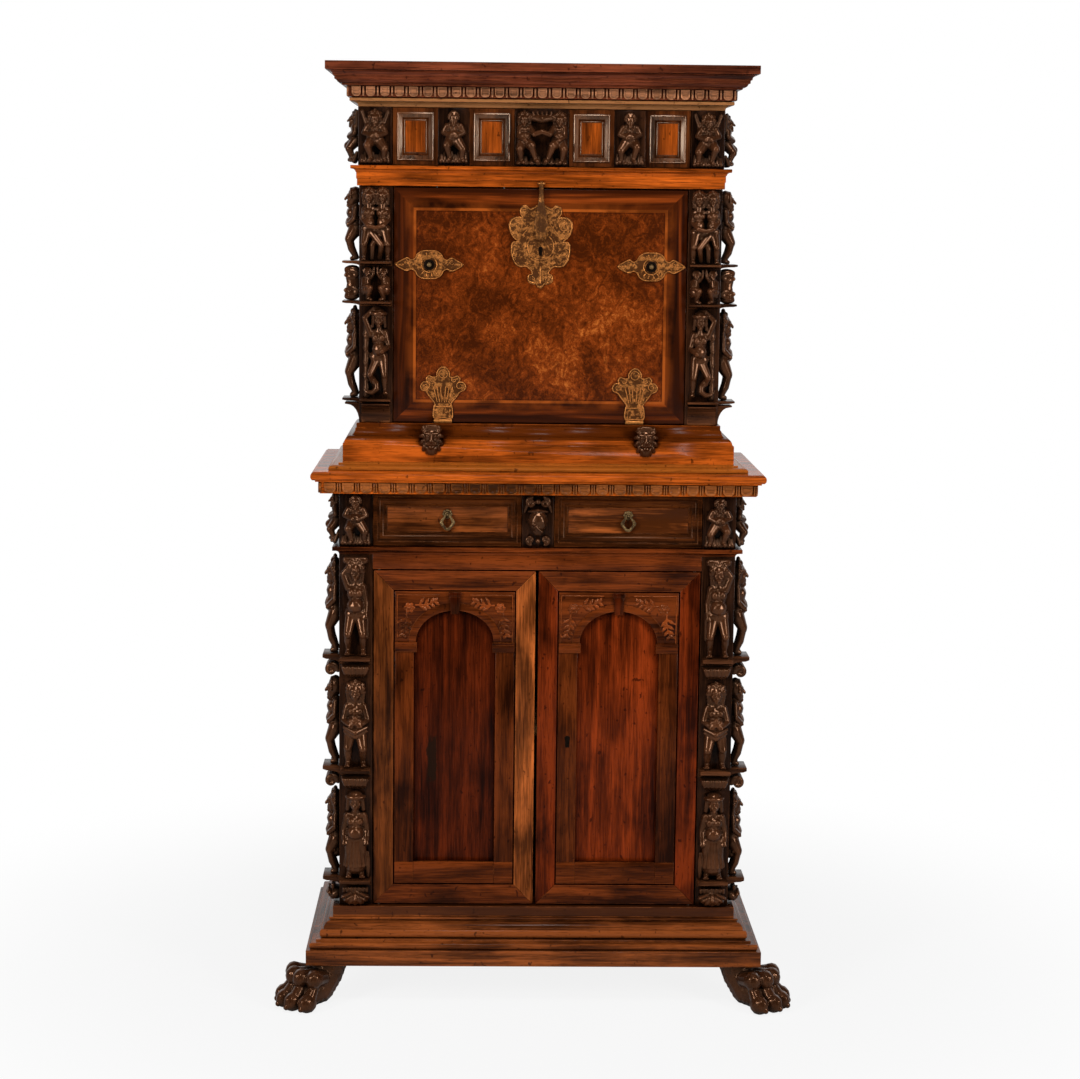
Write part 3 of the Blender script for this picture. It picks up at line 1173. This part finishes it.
def pigeonhole_rack():
    """The nest of open compartments behind the fall front, set between the side boards."""
    half = HALF_UPPER - SIDE_SETBACK - SIDE_THICKNESS - RACK_CLEARANCE
    low, high = FALL_Z + SEAT_GAP, RAIL_Z - RACK_HEADROOM
    front, back = UPPER_FRONT_Y + POST_DEPTH + RACK_CLEARANCE, INNER_BACK_Y
    rim = [(-half, low), (half, low), (half, high), (-half, high)]
    cell_x = (2 * half - RACK_BOARD) / RACK_COLUMNS
    cell_z = (high - low - RACK_BOARD) / RACK_ROWS
    cells = []
    for column in range(RACK_COLUMNS):
        for row in range(RACK_ROWS):
            x, z = -half + RACK_BOARD + column * cell_x, low + RACK_BOARD + row * cell_z
            right, top = x + cell_x - RACK_BOARD, z + cell_z - RACK_BOARD
            cells.append([(x, z), (right, z), (right, top), (x, top)])
    return outline_solid("pigeonhole_rack", [rim] + cells, back - front, CASE_WOOD, FRONT_BASIS,
                         (0, (front + back) / 2, 0))


def frieze_rail():
    """The board between fall front and frieze, with its lip moulding."""
    profile = Profile(RAIL_FASCIA_REACH).rise(0.013).step(0.0055).rise(0.013).step(0.007)
    profile.upright_sweep(0.0145, 0.006).step(0.0165).rise_to(RAIL_HEIGHT - SEAT_GAP)
    return moulded_slab("frieze_rail", HALF_UPPER, UPPER_FRONT_Y, INNER_BACK_Y, RAIL_Z, profile, AMBER_WALNUT)


def frieze_drawers():
    """Two shallow drawers behind the frieze, each with two moulded panels and a carved child as its pull."""
    left, right = -FRIEZE_STILE_INNER + DRAWER_GAP, -FRIEZE_BLOCK_WIDTH / 2 - DRAWER_GAP
    low, high = FRIEZE_Z + DRAWER_GAP, CORNICE_Z - DRAWER_GAP
    middle = (left + right) / 2
    face_back = FRIEZE_FRONT_Y + DRAWER_FRONT_THICKNESS
    splits = (middle - FRIEZE_PULL_WIDTH / 2, middle + FRIEZE_PULL_WIDTH / 2)
    steps = ((0.010, 0.0), (0.005, -0.004), (0.004, 0.0), (0.005, -0.004), (0.003, 0.001))
    drawer = panelled_front("frieze_drawer_left", (left, FRIEZE_FRONT_Y, low), (right, face_back, high),
                            splits, (0, 2), steps, DARK_WALNUT)
    child = carving(SQUATTER, high - low - 2 * CARVING_MARGIN, FRIEZE_PULL_WIDTH - CARVING_MARGIN,
                    (middle, FRIEZE_FRONT_Y, low + CARVING_MARGIN), relief=RELIEF * 0.8)
    tray_low = (left + TRAY_CLEARANCE, face_back - CARVING_SINK, FRIEZE_Z + SLIDE_GAP)
    tray_high = (right - TRAY_CLEARANCE, INNER_BACK_Y - TRAY_BACK_CLEARANCE, FRIEZE_Z + FRIEZE_TRAY_HEIGHT)
    fuse(drawer, child, box("tray", tray_low, tray_high, CASE_WOOD))
    cut_box(drawer, (tray_low[0] + TRAY_WALL, face_back, tray_low[2] + TRAY_FLOOR),
            (tray_high[0] - TRAY_WALL, tray_high[1] - TRAY_WALL, high + SEAT_GAP))
    for piece in pair(drawer):
        hang(piece.name + "_slide", (piece.location.x, FRIEZE_FRONT_Y, low), [piece])


def frieze_block():
    """The carved block in the middle of the frieze, with two figures under a crown."""
    block = divider("frieze_centre", FRIEZE_BLOCK_WIDTH, FRIEZE_BLOCK_DEPTH, FRIEZE_FRONT_Y,
                    FRIEZE_Z, CORNICE_Z - SEAT_GAP)
    group = carving(CROWNED_PAIR, FRIEZE_HEIGHT - 2 * CARVING_MARGIN, FRIEZE_BLOCK_WIDTH - CARVING_MARGIN,
                    (0, FRIEZE_FRONT_Y, FRIEZE_Z + CARVING_MARGIN), facets=3 * FIGURE_FACETS)
    return fuse(block, group)


def drawer_block():
    """The carved block between the lower drawers, with a domed mask between scrolls."""
    block = divider("drawer_divider", DIVIDER_FACE_WIDTH, DIVIDER_FACE_DEPTH, FRONT_Y,
                    DRAWER_Z, DESK_Z - SEAT_GAP)
    mask = carving(SHIELD_MASK, DRAWER_LEVEL_HEIGHT - 2 * CARVING_MARGIN, DIVIDER_FACE_WIDTH - CARVING_MARGIN,
                   (0, FRONT_Y, DRAWER_Z + CARVING_MARGIN), relief=RELIEF * 0.7)
    return fuse(block, mask)


def cornice():
    """The crowning cornice with its band of tongues."""
    profile = Profile(0.0).rise(0.002).upright_sweep(0.014, 0.008).step(0.016).rise(0.006).step(0.011)
    profile.rise(0.0015).step(0.0185).rise(0.001).carved_band(0.019).rise(0.001).step(0.030).rise(0.0035)
    profile.step(0.033).level_sweep(0.040, 0.007).step(0.044).rise(0.006).step(0.047)
    profile.upright_sweep(0.0585, 0.011).step(0.0614).rise_to(CORNICE_HEIGHT)
    return moulded_slab("cornice", HALF_FRIEZE, FRIEZE_FRONT_Y, BACK_Y, CORNICE_Z, profile, DARK_WALNUT,
                        CORNICE_TONGUE_PITCH)


def build():
    """Build the cabinet from the feet up."""
    paw_feet()
    back_feet()
    plinth_body = plinth()
    cupboard_stiles()
    side_boards("cupboard_side_left", HALF_CASE, FRONT_Y, CUPBOARD_Z, WAIST_Z)
    back_board("lower_back", HALF_CASE, CUPBOARD_Z, DESK_Z)
    cupboard_shelf()
    waist_body = waist()
    door_pins()
    bore_for_pins(plinth_body, waist_body)
    doors()
    carved_cheeks("drawer_cheek_left", HALF_CASE, FRONT_Y, DRAWER_Z, DESK_Z, SQUATTER)
    drawer_block()
    lower_drawers()
    desk_top()
    upper_base()
    lopers()
    upper_stiles()
    side_boards("upper_side_left", HALF_UPPER, UPPER_FRONT_Y, FALL_Z, RAIL_Z)
    back_board("upper_back", HALF_UPPER, FALL_Z, CORNICE_Z)
    pigeonhole_rack()
    fall_front()
    frieze_rail()
    hasp()
    carved_cheeks("frieze_cheek_left", HALF_FRIEZE, FRIEZE_FRONT_Y, FRIEZE_Z, CORNICE_Z, WINGED)
    frieze_block()
    frieze_drawers()
    cornice()


build()
